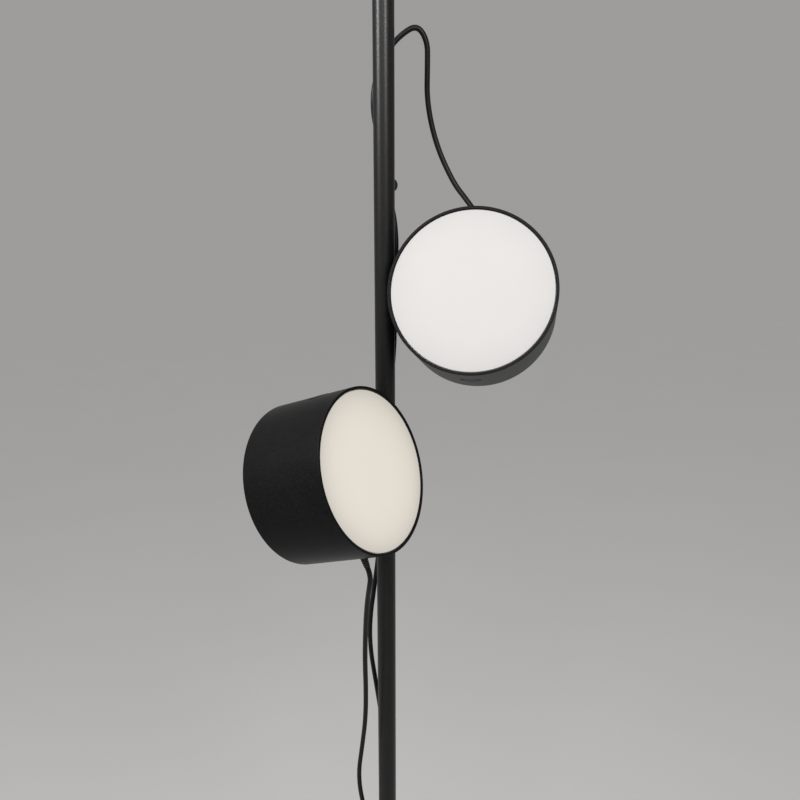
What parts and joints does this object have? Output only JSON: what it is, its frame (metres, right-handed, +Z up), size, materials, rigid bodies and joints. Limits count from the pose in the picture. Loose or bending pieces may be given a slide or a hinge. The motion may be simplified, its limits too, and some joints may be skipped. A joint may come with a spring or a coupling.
{
  "type": "tension pole lamp",
  "caption": "Floor-to-ceiling tension pole lamp: a slim black pole with drum spotlights on magnetic saddles that slide, swivel and tilt, each with an opal disc, dimmer button and cord.",
  "frame": {"origin": "middle of the rubber pad's underside, on the floor and on the pole's axis", "axes": "+Z up along the pole to the ceiling; -Y towards the viewer of the picture, +X to the viewer's right"},
  "size_m": [0.2974, 0.219, 2.5],
  "materials": {
    "powder_coat": "matte fine-textured black powder coat on steel",
    "drum_shell": "matte fine-textured black powder coat on an aluminium shell",
    "dark_steel": "satin black oxide",
    "black_plastic": "matte moulded nylon",
    "pad_rubber": "matte moulded rubber",
    "cord_sheath": "satin black PVC",
    "bright_steel": "satin zinc plate",
    "opal_cover": "satin opal acrylic",
    "white_plastic": "matte white polycarbonate",
    "white_board": "satin white solder mask on aluminium",
    "led_phosphor": "matte phosphor",
    "heat_sink": "satin cast aluminium",
    "green_board": "satin solder mask with a push switch",
    "nickel_magnet": "polished nickel plate",
    "driver_case": "satin moulded case"
  },
  "bodies": {
    "pole": {"floor_pad": "pad_rubber", "foot_cup": "powder_coat", "lower_tube": "powder_coat", "middle_tube": "powder_coat", "upper_tube": "powder_coat", "pole_couplers": "bright_steel", "guide_bush": "black_plastic", "lock_collar": "powder_coat", "cord_ties": "black_plastic", "upper_cord_run": "cord_sheath", "lower_cord_run": "cord_sheath", "upper_cord_coil": "cord_sheath", "lower_cord_coil": "cord_sheath", "upper_plug": "cord_sheath", "lower_plug": "cord_sheath"},
    "lock_screw": {"lock_screw": "dark_steel"},
    "telescope": {"telescope_tube": "dark_steel", "tension_spring": "bright_steel"},
    "plunger": {"plunger_rod": "bright_steel", "ceiling_cup": "powder_coat", "ceiling_pad": "pad_rubber"},
    "upper_clip": {"upper_cord_clip": "black_plastic", "upper_cord_twist": "cord_sheath"},
    "upper_saddle": {"upper_saddle": "black_plastic", "upper_magnets": "nickel_magnet", "upper_pivot_screw": "bright_steel", "upper_spring_washer": "bright_steel", "upper_cord_loop": "cord_sheath", "upper_cord_button": "black_plastic"},
    "upper_head": {"upper_housing": "drum_shell", "upper_diffuser": "opal_cover", "upper_reflector": "white_plastic", "upper_led_board": "white_board", "upper_leds": "led_phosphor", "upper_heat_sink": "heat_sink", "upper_head_screws": "bright_steel", "upper_driver": "driver_case", "upper_dimmer_switch": "green_board", "upper_button_spring": "bright_steel", "upper_cord_gland": "black_plastic"},
    "upper_button": {"upper_button_cap": "black_plastic"},
    "lower_clip": {"lower_cord_clip": "black_plastic", "lower_cord_twist": "cord_sheath"},
    "lower_saddle": {"lower_saddle": "black_plastic", "lower_magnets": "nickel_magnet", "lower_pivot_screw": "bright_steel", "lower_spring_washer": "bright_steel", "lower_cord_loop": "cord_sheath"},
    "lower_head": {"lower_housing": "drum_shell", "lower_diffuser": "opal_cover", "lower_reflector": "white_plastic", "lower_led_board": "white_board", "lower_leds": "led_phosphor", "lower_heat_sink": "heat_sink", "lower_head_screws": "bright_steel", "lower_driver": "driver_case", "lower_dimmer_switch": "green_board", "lower_button_spring": "bright_steel", "lower_cord_gland": "black_plastic"},
    "lower_button": {"lower_button_cap": "black_plastic"}
  },
  "joints": [
    {"name": "lock_screw_turn", "type": "hinge", "parent": "pole", "child": "lock_screw", "pos_m": [0, 0, 2.264], "axis": [1, 0, 0], "range_deg": [0, 360]},
    {"name": "telescope_slide", "type": "slide", "parent": "pole", "child": "telescope", "axis": [0, 0, 1], "range_m": [-0.1, 0.06]},
    {"name": "plunger_slide", "type": "slide", "parent": "telescope", "child": "plunger", "axis": [0, 0, 1], "range_m": [-0.03, 0.04], "stiffness_N_per_m": 2770, "springref_m": 0.00078, "deforming": ["tension_spring"]},
    {"name": "upper_slide", "type": "slide", "parent": "pole", "child": "upper_clip", "axis": [0, 0, 1], "range_m": [-0.06, 0.25], "deforming": ["upper_cord_run"]},
    {"name": "upper_swivel", "type": "hinge", "parent": "upper_clip", "child": "upper_saddle", "pos_m": [0, 0, 1.4134], "axis": [0, 0, 1], "range_deg": [-45, 60], "deforming": ["upper_cord_twist"]},
    {"name": "upper_tilt", "type": "hinge", "parent": "upper_saddle", "child": "upper_head", "pos_m": [0, 0, 1.4134], "axis": [-0.9848, 0.1736, 0], "range_deg": [-60, 60], "deforming": ["upper_cord_loop"]},
    {"name": "upper_button_press", "type": "slide", "parent": "upper_head", "child": "upper_button", "axis": [0.0548, 0.3109, 0.9489], "range_m": [0, 0.0012], "stiffness_N_per_m": 630, "springref_m": -0.003, "deforming": ["upper_button_spring"]},
    {"name": "lower_slide", "type": "slide", "parent": "pole", "child": "lower_clip", "axis": [0, 0, 1], "range_m": [-0.25, 0.06], "deforming": ["lower_cord_run"]},
    {"name": "lower_swivel", "type": "hinge", "parent": "lower_clip", "child": "lower_saddle", "pos_m": [0, 0, 1.2553], "axis": [0, 0, 1], "range_deg": [-60, 45], "deforming": ["lower_cord_twist"]},
    {"name": "lower_tilt", "type": "hinge", "parent": "lower_saddle", "child": "lower_head", "pos_m": [0, 0, 1.2553], "axis": [0.518, 0.8554, 0], "range_deg": [-60, 60], "deforming": ["lower_cord_loop"]},
    {"name": "lower_button_press", "type": "slide", "parent": "lower_head", "child": "lower_button", "axis": [0.27, -0.1635, -0.9489], "range_m": [0, 0.0012], "stiffness_N_per_m": 630, "springref_m": -0.003, "deforming": ["lower_button_spring"]}
  ]
}
